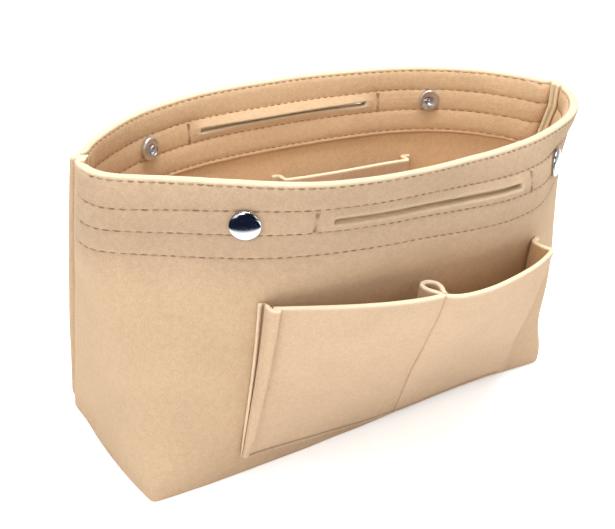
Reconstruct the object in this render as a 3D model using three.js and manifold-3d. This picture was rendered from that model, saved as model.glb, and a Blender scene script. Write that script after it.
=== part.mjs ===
// Felt makeup organizer: an open felt insert with two outer pockets, a pen loop between
// them, an inner pocket, a stitched facing band, carrying slits and four press studs.
// Millimetres, +Z up, front towards -Y, origin at the middle of the underside of the base.
import * as THREE from "three";
import Module from "manifold-3d";

const wasm = await Module();
wasm.setup();
const { Manifold, Mesh } = wasm;

// Body
const baseLength = 270;
const baseDepth = 101;
const height = 175.5;
const mouthLength = 294; // without the flare at the side seams
const mouthFront = 99; // from the origin forward to the rim
const mouthRear = 60; // from the origin back to the rim
const seamAtRim = -9; // where the side seams reach the rim, front to back
const endFullness = 2.2; // how far the ends swell at half height
const rimFlare = 2.5; // how far the side seams stand out at the rim
const footFlare = 1.5; // and at the foot
const footBow = 4; // how far the ends bow out at the foot, between seam and corner
const rimPower = 2; // exponent of the plan outline at the rim: an ellipse
const lowerPower = 8; // added towards the foot, where the front is squarer
const lowerFade = 2.1; // how soon that fades on the way up
const footPower = 80; // added at the foot itself, where the corners are sharp
const footFade = 23;
const rearPower = 2.6; // shape of the rear bow
const rearBowRise = 1.2; // how the rear bow grows with height

// Felt and side seams
const felt = 2.5; // panels, base and facing
const pocketFelt = 2.5;
const layerGap = 0.3; // between two layers that are sewn together
const seamFold = 3.4; // outer radius of a panel where it turns in at a side seam
const seamAllowance = 11.5; // how far the turned-in edges reach inside

// Facing band and carrying slits
const facingDepth = 41;
const facingInset = 1.6; // from a side seam's fold to the end of the band
const slitLength = 111.5;
const slitOpening = 3;
const slitBelowRim = 20;

// Press studs
const snapSpan = 187.5; // between the two studs of a wall
const snapBelowRim = 20.3;
const metalSeat = 0.55; // between the curved felt and the flat of a stud part
const capDiameter = 15;
const capCrown = 3;
const capEdge = 0.9;
const postDiameter = 3.4;
const postWall = 0.6;
const postClearance = 0.3; // round the post in the felt
const clinchClearance = 0.15; // round the post in the stud or socket
const studDiameter = 11;
const knobDiameter = 5.2;
const knobHeight = 3.6;
const socketDiameter = 12.6;
const socketHeight = 2.7;
const knobClearance = 0.25;
const springWire = 0.7;
const springGrip = 0.15; // how far the spring ring stands inside the knob's radius
const springSplit = 40; // degrees left open in the spring ring

// Outer pockets
const pocketTop = 113.5;
const pocketFoot = 14;
const pocketLeft = -84;
const pocketRightTop = 82;
const pocketRightFoot = 94;
const pocketSeamTop = -2; // the seam between the two pockets leans
const pocketSeamFoot = 14;
const pocketDepthLeft = 4.5; // how far the faces stand off the wall at the top
const pocketDepthSeam = 20.5;
const pocketDepthRight = 13.5;
const leftFaceSwell = 2.2;
const rightFaceSwell = 6;
const leftFaceLean = 2.2; // above 1 the fullest place lies right of the middle
const rightFaceLean = 0.3; // and below 1 left of it
const leanStart = 0.03;
const gussetFlange = 5; // sewn to the wall beside the pocket
const gussetBend = 1.7;
const leftLip = 4.5; // how far the left gusset laps over the front of its pocket

// Pen loop
const loopWidth = 11.3;
const loopFoot = 72;
const loopStandOff = 5; // from the wall at the top

// Inner pocket
const innerTop = 120;
const innerFoot = 24;
const innerLeft = -6;
const innerRight = 80;
const innerDepth = 8;
const innerSwell = 3;

// Fineness of the curved felt, in points from a side seam to the middle
const frontColumns = 20;
const rearColumns = 13;
const cornerCrowding = 0.09;

const material = (color, roughness, metalness) =>
  new THREE.MeshStandardMaterial({ color, roughness, metalness });
const panelFelt = material(0xdec29a, 0.95, 0);
const facingFelt = material(0xe0bd8a, 0.95, 0);
const pocketCloth = material(0xdabd96, 0.95, 0);
const polishedSteel = material(0xd8dade, 0.16, 1);
const springSteel = material(0x8d8f94, 0.3, 1);

const organizer = new THREE.Group();
organizer.name = "felt_makeup_organizer";

const lerp = THREE.MathUtils.lerp;
const vec = (x, y) => new THREE.Vector2(x, y);
const range = (steps, make) =>
  Array.from({ length: steps + 1 }, (_, i) => make(i / steps, i));

// Plan outline of the outer surface at a share t of the height. The front half goes from
// nearly square at the foot to an ellipse at the rim, the rear from straight to bowed.
// They meet at the side seams, which lean forward.
const halfLength = (t) =>
  lerp(baseLength / 2, mouthLength / 2, Math.pow(t, 1.5)) +
  endFullness * 4 * t * (1 - t);
const seamY = (t) => lerp(baseDepth / 2, seamAtRim, t);
const frontDepth = (t) => lerp(baseDepth, mouthFront + seamAtRim, t);
const rearBow = (t) => (mouthRear - seamAtRim) * Math.pow(t, rearBowRise);
const planPower = (t) =>
  rimPower +
  lowerPower * Math.pow(1 - t, lowerFade) +
  footPower * Math.pow(1 - t, footFade);

// Further out, an end flares towards its side seam and bows at the foot. The place on
// the end is a share q of the way from the seam to the front.
const seamFlare = (t) => lerp(footFlare, rimFlare, t);
const endBow = (t) => footBow * Math.pow(1 - t, 2);
const endSwell = (q, t) =>
  seamFlare(t) * Math.pow(1 - q, 3) + endBow(t) * 4 * q * (1 - q);
const seamHalf = (t) => halfLength(t) + seamFlare(t);

function frontPoint(turn, t) {
  const n = planPower(t);
  const c = Math.cos(turn);
  const s = Math.sin(turn);
  const reach = Math.pow(Math.pow(Math.abs(c), n) + Math.pow(s, n), -1 / n);
  const q = s * reach;
  const half = halfLength(t) + endSwell(q, t);
  return vec(-half * c * reach, seamY(t) - frontDepth(t) * q);
}

function rearPoint(share, t) {
  const bow = rearBow(t) * (1 - Math.pow(Math.abs(share), rearPower));
  return vec(share * seamHalf(t), seamY(t) + bow);
}

// Front to back place of the outer surface at a given x and height
function frontWallY(x, z) {
  const t = z / height;
  const n = planPower(t);
  let q = 1;
  for (let step = 0; step < 5; step++) {
    const share = Math.min(1, Math.abs(x) / (halfLength(t) + endSwell(q, t)));
    q = Math.pow(1 - Math.pow(share, n), 1 / n);
  }
  return seamY(t) - frontDepth(t) * q;
}

function rearWallY(x, z) {
  const t = z / height;
  return rearPoint(Math.min(1, Math.abs(x) / seamHalf(t)), t).y;
}

// A path moved to the left of its own direction, with mitred corners
function shifted(path, distance) {
  const along = path.slice(1).map((p, i) => p.clone().sub(path[i]).normalize());
  return path.map((p, i) => {
    const before = along[Math.max(0, i - 1)];
    const after = along[Math.min(along.length - 1, i)];
    const both = before.clone().add(after);
    const reach = (2 * distance) / both.lengthSq();
    return vec(p.x - both.y * reach, p.y + both.x * reach);
  });
}

const mirrored = (path) => path.map((p) => vec(-p.x, p.y)).reverse();

// A closed sheet of felt from one path per level. A path runs in the middle of the
// sheet's thickness, and all the paths of a sheet have the same number of points. Both
// faces are split along the same diagonals, so sheets laid together stay parallel.
function feltSheet(levels, thickness) {
  const rings = levels.map(({ z, path }) => {
    const right = shifted(path, -thickness / 2).reverse();
    const ring = [...shifted(path, thickness / 2), ...right];
    if (THREE.ShapeUtils.area(ring) < 0) ring.reverse();
    return ring.map((p) => [p.x, p.y, z]);
  });
  const count = rings[0].length;
  const top = rings.length - 1;
  const at = (level, i) => level * count + (i % count);
  const triangles = [];
  for (let level = 0; level < top; level++) {
    for (let i = 0; i < count; i++) {
      const [a, b] = [at(level, i), at(level, i + 1)];
      const [c, d] = [at(level + 1, i + 1), at(level + 1, i)];
      if (i < count / 2) triangles.push(a, b, c, a, c, d);
      else triangles.push(a, b, d, b, c, d);
    }
  }
  for (let i = 0; i + 1 < count / 2; i++) {
    const j = count - 1 - i;
    triangles.push(at(0, i), at(0, j), at(0, i + 1));
    triangles.push(at(0, i + 1), at(0, j), at(0, j - 1));
    triangles.push(at(top, i), at(top, i + 1), at(top, j));
    triangles.push(at(top, i + 1), at(top, j - 1), at(top, j));
  }
  return new Manifold(
    new Mesh({
      numProp: 3,
      vertProperties: new Float32Array(rings.flat(2)),
      triVerts: new Uint32Array(triangles),
    })
  );
}

// The left side seam: the two walls that leave it and the way in between them
function seamFrame(t) {
  const widening = 4 * endBow(t) - 3 * seamFlare(t);
  const alongFront = vec(-widening, -frontDepth(t)).normalize();
  const slope = (rearPower * rearBow(t)) / seamHalf(t);
  const alongRear = vec(1, slope).normalize();
  const inward = alongFront.clone().add(alongRear).normalize();
  const halfAngle = Math.acos(alongFront.dot(inward));
  return { corner: frontPoint(0, t), alongRear, inward, halfAngle };
}

// Distance along a wall from the seam to the start of its fold
const foldStart = (t) => seamFold / Math.tan(seamFrame(t).halfAngle / 2);

// The turned-in edge of a panel at the left seam, from its free end inside to the place
// where the wall begins. The front panel lies on side -1 of the seam and the rear on +1.
function turnedEdge(t, side, wallStart, wallNext) {
  const { corner, inward } = seamFrame(t);
  const offset = (side * (felt + layerGap)) / 2;
  const across = vec(-inward.y, inward.x).multiplyScalar(offset);
  const inside = (distance) =>
    corner.clone().addScaledVector(inward, distance).add(across);
  const handle = 0.8 * seamFold;
  const leaving = wallStart.clone().sub(wallNext).normalize();
  const bend = foldStart(t);
  const fold = new THREE.CubicBezierCurve(
    inside(bend),
    inside(bend - handle),
    wallStart.clone().addScaledVector(leaving, handle),
    wallStart
  );
  return [inside(seamAllowance), ...fold.getPoints(5)];
}

// Points of the outer surface from the fold at the left seam to the middle. They crowd
// towards the front corner. A band starts further in, by its inset, and shares all the
// other columns of points with the panel that carries it.
const towardsCorner = (s) => s + cornerCrowding * Math.sin(2 * Math.PI * s);

function insetStart(columns, inset) {
  const first = columns[1].clone().sub(columns[0]).setLength(inset);
  return [columns[0].clone().add(first), ...columns.slice(1)];
}

function frontHalf(t, inset) {
  const first = Math.asin(foldStart(t) / frontDepth(t));
  const columns = range(frontColumns, (s) =>
    frontPoint(lerp(first, Math.PI / 2, towardsCorner(s)), t)
  );
  return insetStart(columns, inset);
}

function rearHalf(t, inset) {
  const first = (foldStart(t) * seamFrame(t).alongRear.x) / seamHalf(t) - 1;
  const columns = range(rearColumns, (s) => rearPoint(lerp(first, 0, s), t));
  return insetStart(columns, inset);
}

// Whole path of a panel or a facing band, from the points of its left half. The inside
// of the front is to the left of the path, and the inside of the rear to its right.
function wholePath(left) {
  return [...left, ...mirrored(left).slice(1)];
}

function panelPath(t, side, outer) {
  const middle = shifted(outer, (-side * felt) / 2);
  const edge = turnedEdge(t, side, middle[0], middle[1]);
  return wholePath([...edge, ...middle.slice(1)]);
}

function bandPath(side, outer) {
  return wholePath(shifted(outer, -side * (1.5 * felt + layerGap)));
}

const footShare = (felt + layerGap) / height;
const bandShare = 1 - facingDepth / height;
const bandShares = range(3, (s) => lerp(bandShare, 1, s));
const lowerShares = range(8, (s) => lerp(footShare, bandShare, Math.pow(s, 1.5)));
const panelShares = [...lowerShares, ...bandShares.slice(1)];
const bandInset = felt + facingInset;

const sheetAt = (shares, pathAt) =>
  feltSheet(
    shares.map((t) => ({ z: t * height, path: pathAt(t) })),
    felt
  );

let frontPanel = sheetAt(panelShares, (t) => panelPath(t, -1, frontHalf(t, 0)));
let rearPanel = sheetAt(panelShares, (t) => panelPath(t, 1, rearHalf(t, 0)));
let frontFacing = sheetAt(bandShares, (t) => bandPath(-1, frontHalf(t, bandInset)));
let rearFacing = sheetAt(bandShares, (t) => bandPath(1, rearHalf(t, bandInset)));

// Base panel: the outline of the foot, flat on the ground, with the walls on its edge
// and its rear corners rounded where the seams fold
const footSide = frontHalf(0, 0);
const footCorner = new THREE.QuadraticBezierCurve(
  rearHalf(0, 0)[0],
  seamFrame(0).corner,
  footSide[0]
);
const footOutline = wholePath([...footCorner.getPoints(5), ...footSide.slice(1)]);
const basePanel = Manifold.extrude([footOutline.map((p) => [p.x, p.y])], felt);

// Carrying slit: a flat slot with round ends, cut front to back
const slitHeight = height - slitBelowRim;
const slitRadius = slitOpening / 2;
const slitReach = 2 * (mouthFront + mouthRear);
const slitEnd = Manifold.cylinder(slitReach, slitRadius, slitRadius, 10, true)
  .rotate([90, 0, 0])
  .translate([slitLength / 2 - slitRadius, 0, slitHeight]);
const slit = Manifold.hull([slitEnd, slitEnd.mirror([1, 0, 0])]);

// A solid of revolution from radius and height pairs
function turned(profile, segments) {
  const outline = profile.map(([r, z]) => vec(r, z));
  if (THREE.ShapeUtils.area(outline) < 0) outline.reverse();
  return Manifold.revolve([outline.map((p) => [p.x, p.y])], segments);
}

// Stands a solid on the outer face of a wall, with its +Z out of the organizer
function onWall(solid, x, z, wallY, out) {
  const step = capDiameter / 3;
  const slopeX = (wallY(x + step, z) - wallY(x - step, z)) / (2 * step);
  const slopeZ = (wallY(x, z + step) - wallY(x, z - step)) / (2 * step);
  const normal = new THREE.Vector3(-slopeX, 1, -slopeZ).normalize();
  const turn = new THREE.Quaternion().setFromUnitVectors(
    new THREE.Vector3(0, 0, 1),
    normal.multiplyScalar(out)
  );
  const place = new THREE.Vector3(x, wallY(x, z), z);
  const size = new THREE.Vector3(1, 1, 1);
  return solid.transform(new THREE.Matrix4().compose(place, turn, size).elements);
}

// Press studs. Depths are measured inward from the inner face of the facing.
const insideFace = -(2 * felt + layerGap + metalSeat);
const post = postDiameter / 2;
const bore = post + clinchClearance;
const knob = knobDiameter / 2;
const inward = (profile) => profile.map(([r, depth]) => [r, insideFace - depth]);

// Domed cap on a hollow post that reaches into the stud or socket
const dome = new THREE.CubicBezierCurve(
  vec(capDiameter / 2, metalSeat + capEdge),
  vec(capDiameter / 2, metalSeat + capEdge + 0.9),
  vec(capDiameter / 3.2, metalSeat + capCrown),
  vec(0, metalSeat + capCrown)
);
const capTurning = [
  [0, metalSeat],
  [capDiameter / 2 - 0.6, metalSeat],
  [capDiameter / 2, metalSeat + 0.35],
  ...dome.getPoints(5).map((p) => [p.x, p.y]),
];
function capWithPost(reach) {
  const tube = [
    [0, metalSeat + 0.2],
    [post, metalSeat + 0.2],
    ...inward([
      [post, reach],
      [post - postWall, reach],
      [post - postWall, 0],
      [0, 0],
    ]),
  ];
  return turned(capTurning, 24).add(turned(tube, 12));
}

// Stud: a flange with a necked knob, hollow for the end of the post
const stud = turned(
  inward([
    [bore, 0],
    [studDiameter / 2, 0],
    [studDiameter / 2, 0.5],
    [studDiameter / 2 - 0.6, 1],
    [knob + 0.9, 1.2],
    [knob - 0.3, 1.6],
    [knob - 0.3, 2.3],
    [knob, knobHeight - 0.9],
    [knob, knobHeight - 0.4],
    [knob - 0.35, knobHeight],
    [bore, knobHeight],
  ]),
  20
);

// Socket: a rolled ring with a dished mouth and a groove for the spring ring
const socketRadius = socketDiameter / 2;
const mouthRadius = knob + knobClearance;
const springRadius = knob - springGrip + springWire / 2;
const grooveRadius = springRadius + springWire / 2 + 0.3;
const grooveFloor = 0.8;
const grooveRoof = grooveFloor + springWire + 0.3;
const socket = turned(
  inward([
    [bore, 0],
    [socketRadius - 0.4, 0],
    [socketRadius, 0.5],
    [socketRadius, socketHeight - 0.8],
    [socketRadius - 0.5, socketHeight - 0.15],
    [socketRadius - 1.2, socketHeight],
    [mouthRadius + 0.9, socketHeight - 0.4],
    [mouthRadius, grooveRoof + 0.2],
    [mouthRadius, grooveRoof],
    [grooveRadius, grooveRoof],
    [grooveRadius, grooveFloor],
    [bore, grooveFloor],
  ]),
  20
);
const wireSection = range(6, (s) => [
  springRadius + (springWire / 2) * Math.cos(2 * Math.PI * s),
  (springWire / 2) * Math.sin(2 * Math.PI * s),
]).slice(0, 6);
const springRing = Manifold.revolve([wireSection], 18, 360 - springSplit)
  .translate([0, 0, insideFace - (grooveFloor + grooveRoof) / 2]);

const snapHeight = height - snapBelowRim;
const holeLength = 6 * felt;
const snapHole = Manifold.cylinder(
  2 * holeLength,
  post + postClearance,
  post + postClearance,
  12,
  true
);

const pieces = {};
for (const [side, x] of [["left", -snapSpan / 2], ["right", snapSpan / 2]]) {
  const inFront = (solid) => onWall(solid, x, snapHeight, frontWallY, -1);
  const inRear = (solid) => onWall(solid, x, snapHeight, rearWallY, 1);
  frontPanel = frontPanel.subtract(inFront(snapHole));
  frontFacing = frontFacing.subtract(inFront(snapHole));
  rearPanel = rearPanel.subtract(inRear(snapHole));
  rearFacing = rearFacing.subtract(inRear(snapHole));
  pieces[`front_${side}_snap_cap`] = [inFront(capWithPost(2.4)), polishedSteel];
  pieces[`front_${side}_snap_stud`] = [inFront(stud), polishedSteel];
  pieces[`rear_${side}_snap_cap`] = [inRear(capWithPost(grooveFloor)), polishedSteel];
  pieces[`rear_${side}_snap_socket`] = [inRear(socket), polishedSteel];
  pieces[`rear_${side}_spring_ring`] = [inRear(springRing), springSteel];
}

// Pockets. A face stands off the wall that carries it, more towards the top.
// Front to back place of a point at a distance in front of a wall, square to the wall
function inFrontOf(wallY, x, z, distance) {
  const slope = wallY(x + 0.5, z) - wallY(x - 0.5, z);
  return wallY(x, z) - distance * Math.hypot(1, slope);
}
const outerSurface = (x, z, off = 0) => inFrontOf(frontWallY, x, z, off);
const innerSurface = (x, z, off = 0) => inFrontOf(rearWallY, x, z, felt + off);
const seated = layerGap + pocketFelt / 2; // wall to the middle of a sewn-on sheet
const pocketShares = range(6, (s) => s);

// Cuts a solid off beside an edge that runs straight from the foot to the top of a
// pocket, and keeps the part on side keep of it
function cutAtEdge(solid, { foot, top }, edge, keep) {
  const rise = top - foot;
  const run = edge(1) - edge(0);
  const length = Math.hypot(rise, run);
  const normal = [(keep * rise) / length, 0, (-keep * run) / length];
  return solid.trimByPlane(normal, normal[0] * edge(0) + normal[2] * foot);
}

// How full a face is at a share s of its width, 1 at its fullest place
function fullness(s, lean) {
  const leaned = (place) => Math.pow(place + leanStart, lean);
  const q = (leaned(s) - leaned(0)) / (leaned(1) - leaned(0));
  return 4 * q * (1 - q);
}

// How far a face stands off its wall at a place x and a share v of its height
function standOff({ from, to, depths, swell, lean }, x, v) {
  const place = THREE.MathUtils.clamp((x - from(v)) / (to(v) - from(v)), 0, 1);
  return v * (lerp(depths[0], depths[1], place) + swell * fullness(place, lean));
}

function pocketFace(pocket) {
  const { carrier, foot, top, from, to } = pocket;
  const levels = pocketShares.map((v) => {
    const z = lerp(foot, top, v);
    const path = range(14, (s) => {
      const x = lerp(from(v) - pocketFelt, to(v) + pocketFelt, s);
      return vec(x, carrier(x, z, seated) - standOff(pocket, x, v));
    });
    return { z, path };
  });
  const sheet = feltSheet(levels, pocketFelt);
  const right = cutAtEdge(sheet, { foot, top }, from, 1);
  return cutAtEdge(right, { foot, top }, to, -1);
}

// A gusset: a flange sewn to the wall, a bend, and a web out to the front of the face,
// where it may lap over the face with a lip. side is -1 at the left end of a pocket and
// +1 at its right end.
function pocketGusset(pocket, side, lip) {
  const { carrier, foot, top, from, to } = pocket;
  const levels = pocketShares.map((v) => {
    const z = lerp(foot, top, v);
    const edge = side < 0 ? from(v) : to(v);
    const webX = edge + side * seated;
    const seat = (x) => carrier(x, z, seated);
    const before = (x, distance) =>
      carrier(x, z, seated + distance) - standOff(pocket, x, v);
    const farX = webX + side * gussetFlange;
    const turnX = webX + side * gussetBend;
    const over = (x) => before(x, pocketFelt + 2 * layerGap);
    const front = lip ? over(webX) : before(edge, pocketFelt / 2);
    const room = lip ? (seat(webX) - front) / 2 - 0.05 : seat(webX) - front - 0.2;
    const reach = Math.min(gussetBend, room);
    const bend = new THREE.QuadraticBezierCurve(
      vec(turnX, seat(turnX)),
      vec(webX, seat(webX)),
      vec(webX, seat(webX) - reach)
    );
    const path = [vec(farX, seat(farX)), ...bend.getPoints(4)];
    if (lip) {
      const lapX = webX - side * gussetBend;
      const lap = new THREE.QuadraticBezierCurve(
        vec(webX, front + reach),
        vec(webX, front),
        vec(lapX, over(lapX))
      );
      const endX = edge - side * lip;
      path.push(...lap.getPoints(4), vec(endX, over(endX)));
    } else {
      path.push(vec(webX, front));
    }
    return { z, path };
  });
  return feltSheet(levels, pocketFelt);
}

const between = (foot, top) => (v) => lerp(foot, top, v);
const seamLine = between(pocketSeamFoot, pocketSeamTop);
const seamGap = layerGap / 2;
const outerPocket = { carrier: outerSurface, foot: pocketFoot, top: pocketTop };

const leftPocket = {
  ...outerPocket,
  from: between(pocketLeft, pocketLeft),
  to: (v) => seamLine(v) - seamGap,
  depths: [pocketDepthLeft, pocketDepthSeam],
  swell: leftFaceSwell,
  lean: leftFaceLean,
};
const rightPocket = {
  ...outerPocket,
  from: (v) => seamLine(v) + seamGap,
  to: between(pocketRightFoot, pocketRightTop),
  depths: [pocketDepthSeam, pocketDepthRight],
  swell: rightFaceSwell,
  lean: rightFaceLean,
};
pieces.left_pocket_face = [pocketFace(leftPocket), pocketCloth];
pieces.right_pocket_face = [pocketFace(rightPocket), pocketCloth];
pieces.left_pocket_gusset = [pocketGusset(leftPocket, -1, leftLip), pocketCloth];
pieces.right_pocket_gusset = [pocketGusset(rightPocket, 1, 0), pocketCloth];

// Pen loop: a teardrop of felt that hangs behind the seam, clear of the wall
const loopSteps = range(4, (s) => s);
const loopLevels = loopSteps.map((s) => {
  const z = lerp(loopFoot, pocketTop, s);
  const v = (z - pocketFoot) / (pocketTop - pocketFoot);
  const x = seamLine(v);
  const back = outerSurface(x, z, seated) - loopStandOff * v;
  const front = outerSurface(x, z) + layerGap - pocketDepthSeam * v;
  const radius = (loopWidth - pocketFelt) / 2;
  const centre = back - radius;
  const pinch = pocketFelt / 2 + seamGap;
  const side = new THREE.CubicBezierCurve(
    vec(-pinch, front),
    vec(-pinch, lerp(front, centre, 0.35)),
    vec(-radius, lerp(front, centre, 0.5)),
    vec(-radius, centre)
  );
  const rear = range(4, (q) => {
    const turn = (Math.PI / 2) * q;
    return vec(-radius * Math.cos(turn), centre + radius * Math.sin(turn));
  });
  const left = [...side.getPoints(5), ...rear.slice(1)];
  return { z, path: wholePath(left).map((p) => vec(p.x + x, p.y)) };
});
pieces.pen_loop = [feltSheet(loopLevels, pocketFelt), pocketCloth];

// Inner pocket on the rear wall
const innerPocket = {
  carrier: innerSurface,
  foot: innerFoot,
  top: innerTop,
  from: between(innerLeft, innerLeft),
  to: between(innerRight, innerRight),
  depths: [innerDepth, innerDepth],
  swell: innerSwell,
  lean: 1,
};
pieces.inner_pocket_face = [pocketFace(innerPocket), pocketCloth];
pieces.inner_pocket_left_gusset = [pocketGusset(innerPocket, -1, 0), pocketCloth];
pieces.inner_pocket_right_gusset = [pocketGusset(innerPocket, 1, 0), pocketCloth];

pieces.front_panel = [frontPanel.subtract(slit), panelFelt];
pieces.rear_panel = [rearPanel.subtract(slit), panelFelt];
pieces.base_panel = [basePanel, panelFelt];
pieces.front_facing_band = [frontFacing.subtract(slit), facingFelt];
pieces.rear_facing_band = [rearFacing.subtract(slit), facingFelt];

for (const [name, [solid, look]] of Object.entries(pieces)) {
  const { vertProperties, triVerts, numProp } = solid.getMesh();
  const flat = new THREE.BufferGeometry();
  const points = new THREE.InterleavedBuffer(vertProperties, numProp);
  flat.setAttribute(
    "position",
    new THREE.InterleavedBufferAttribute(points, 3, 0)
  );
  flat.setIndex(new THREE.BufferAttribute(triVerts, 1));
  const geometry = flat.toNonIndexed();
  geometry.computeVertexNormals();
  const mesh = new THREE.Mesh(geometry, look);
  mesh.name = name;
  organizer.add(mesh);
}

export default organizer;
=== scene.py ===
import math
import bpy
import numpy as np
from mathutils import Matrix, Vector


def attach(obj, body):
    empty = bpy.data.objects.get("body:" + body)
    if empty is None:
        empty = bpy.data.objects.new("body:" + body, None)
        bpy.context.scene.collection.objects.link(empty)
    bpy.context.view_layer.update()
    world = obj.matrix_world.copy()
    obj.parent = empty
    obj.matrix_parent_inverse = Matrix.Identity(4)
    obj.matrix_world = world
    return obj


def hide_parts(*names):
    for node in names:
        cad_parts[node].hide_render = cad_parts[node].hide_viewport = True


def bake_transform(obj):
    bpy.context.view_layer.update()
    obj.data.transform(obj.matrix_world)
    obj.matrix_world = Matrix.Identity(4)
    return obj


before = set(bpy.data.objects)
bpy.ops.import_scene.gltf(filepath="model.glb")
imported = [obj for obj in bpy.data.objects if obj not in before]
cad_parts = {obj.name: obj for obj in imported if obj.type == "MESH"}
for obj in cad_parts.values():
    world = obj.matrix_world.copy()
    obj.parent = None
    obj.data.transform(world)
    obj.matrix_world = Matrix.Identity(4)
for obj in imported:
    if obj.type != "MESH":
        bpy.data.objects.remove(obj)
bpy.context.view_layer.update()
print("frame loaded:", len(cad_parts), "nodes")

mm = 0.001  # sizes below are in millimetres; points are scaled to metres when a mesh is made

# camera, matched to the rims, seams, stitch rows, base corners and snaps of the photograph
photoCamera = {
    "place": (-287.11, -427.89, 338.52),
    "turn": 0.5697,  # radians from +Y towards +X
    "dip": 0.4640,
    "roll": -0.0343,
    "lens": 58.12,
    "sensor": 36.0,
}


def addCamera(spec):
    st, ct = math.sin(spec["turn"]), math.cos(spec["turn"])
    sd, cd = math.sin(spec["dip"]), math.cos(spec["dip"])
    sr, cr = math.sin(spec["roll"]), math.cos(spec["roll"])
    forward = Vector((st * cd, ct * cd, -sd))
    right = Vector((ct, -st, 0))
    up = Vector((st * sd, ct * sd, cd))
    axes = (right * cr - up * sr, right * sr + up * cr, -forward)
    data = bpy.data.cameras.new("photoCamera")
    data.lens = spec["lens"]
    data.sensor_width = spec["sensor"]
    data.clip_start = 0.01
    camera = bpy.data.objects.new("photoCamera", data)
    bpy.context.scene.collection.objects.link(camera)
    turn = Matrix(axes).transposed().to_4x4()
    camera.matrix_world = Matrix.Translation(Vector(spec["place"]) * mm) @ turn
    bpy.context.scene.camera = camera


addCamera(photoCamera)
print("camera placed")


def linearColor(code):
    parts = [int(code[i : i + 2], 16) / 255 for i in (1, 3, 5)]
    return (*[c / 12.92 if c <= 0.04045 else ((c + 0.055) / 1.055) ** 2.4 for c in parts], 1)


def addNode(tree, kind, settings={}, links={}):
    node = tree.nodes.new("ShaderNode" + kind)
    for key, value in settings.items():
        if isinstance(key, int) or (key in node.inputs and not hasattr(type(node), key)):
            node.inputs[key].default_value = value
        else:
            setattr(node, key, value)
    for key, (source, output) in links.items():
        tree.links.new(source.outputs[output], node.inputs[key])
    return node


multiply, maximum = {"operation": "MULTIPLY"}, {"operation": "MAXIMUM"}


def newMaterial(name):
    material = bpy.data.materials.new(name)
    material.use_nodes = True
    tree = material.node_tree
    tree.nodes.clear()
    return material, tree, addNode(tree, "TexCoord")


def rampStops(node, stops):
    ramp = node.color_ramp
    while len(ramp.elements) < len(stops):
        ramp.elements.new(0.5)
    for element, (place, code) in zip(ramp.elements, stops):
        element.position = place
        element.color = linearColor(code)


# Needle-punched polyester felt: matt, warm tan, its surface a close mat of short fibres
# with paler ones lying on top. It is paler where it is cut, partly its own paleness and partly a painted
# highlight where the edges catch the light. Real fibres are 0.03 mm thick, far below a pixel, so they are
# drawn as streaks about 0.5 mm wide.
def needleFelt(name, spec):
    material, tree, place = newMaterial(name)
    noise, tones = {}, []
    for key, look in (
        ("fibre", {"Detail": 3.0, "Roughness": 0.7, "Distortion": 1.2}),
        ("fleck", {"Detail": 2.0, "Roughness": 0.6}),
        ("drift", {"Detail": 1.0}),
    ):
        scale = {"Scale": 1 / (spec[key] * mm)}
        noise[key] = addNode(tree, "TexNoise", {**scale, **look}, {"Vector": (place, "Object")})
    fibreTone = addNode(tree, "ValToRGB", {}, {"Fac": (noise["fibre"], "Fac")})
    rampStops(fibreTone, [(0.30, spec["dark"]), (0.52, spec["base"]), (0.74, spec["pale"])])
    for key, swing in (("fleck", 0.045), ("drift", 0.03)):
        reach = {"From Min": 0.3, "From Max": 0.7, "To Min": 1 - swing, "To Max": 1 + swing}
        tones.append(addNode(tree, "MapRange", reach, {"Value": (noise[key], "Fac")}))
    both = addNode(tree, "Math", multiply, {k: (tones[k], "Result") for k in (0, 1)})
    scaled = {0: (fibreTone, "Color"), "Scale": (both, "Value")}
    toned = addNode(tree, "VectorMath", {"operation": "SCALE"}, scaled)
    # paler at cut edges: partly the felt's own paleness, partly a painted highlight where the edges catch
    # the light
    cut = addNode(tree, "Attribute", {"attribute_name": "cutEdge"})
    cutTone = {"data_type": "RGBA", 7: linearColor(spec["cut"])}
    edged = addNode(tree, "Mix", cutTone, {0: (cut, "Fac"), 6: (toned, "Vector")})
    # painted light: the inner face takes a warmer tint and the outer face a greyer one, standing in for the
    # light bounced inside the bag; the other mask greys the upper band of a wall and, on the pocket felt,
    # darkens creases with painted shade
    tints = (("greyingAndCreaseShade", "#ffffff", spec["greyingAndCreaseShade"]), ("innerSide", spec["outer"], spec["inner"]))
    for layer, rest, tint in tints:
        where = addNode(tree, "Attribute", {"attribute_name": layer})
        ends = {"data_type": "RGBA", 6: linearColor(rest), 7: linearColor(tint)}
        amount = addNode(tree, "Mix", ends, {0: (where, "Fac")})
        tinted = {"data_type": "RGBA", "blend_type": "MULTIPLY", 0: 1.0}
        edged = addNode(tree, "Mix", tinted, {6: (edged, 2), 7: (amount, 2)})
    fine, coarse = {"Strength": 0.55, "Distance": 0.35 * mm}, {"Strength": 0.5, "Distance": 0.5 * mm}
    fineBump = addNode(tree, "Bump", fine, {"Height": (noise["fibre"], "Fac")})
    bump = addNode(tree, "Bump", coarse, {"Height": (noise["fleck"], "Fac"), "Normal": (fineBump, "Normal")})
    fuzz = {
        "Roughness": 0.95,
        "Specular IOR Level": 0.2,
        "Sheen Weight": spec["sheen"],
        "Sheen Roughness": 0.55,
        "Sheen Tint": linearColor(spec["pale"]),
    }
    felt = addNode(tree, "BsdfPrincipled", fuzz, {"Base Color": (edged, 2), "Normal": (bump, "Normal")})
    addNode(tree, "OutputMaterial", {}, {"Surface": (felt, "BSDF")})
    return material
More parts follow.
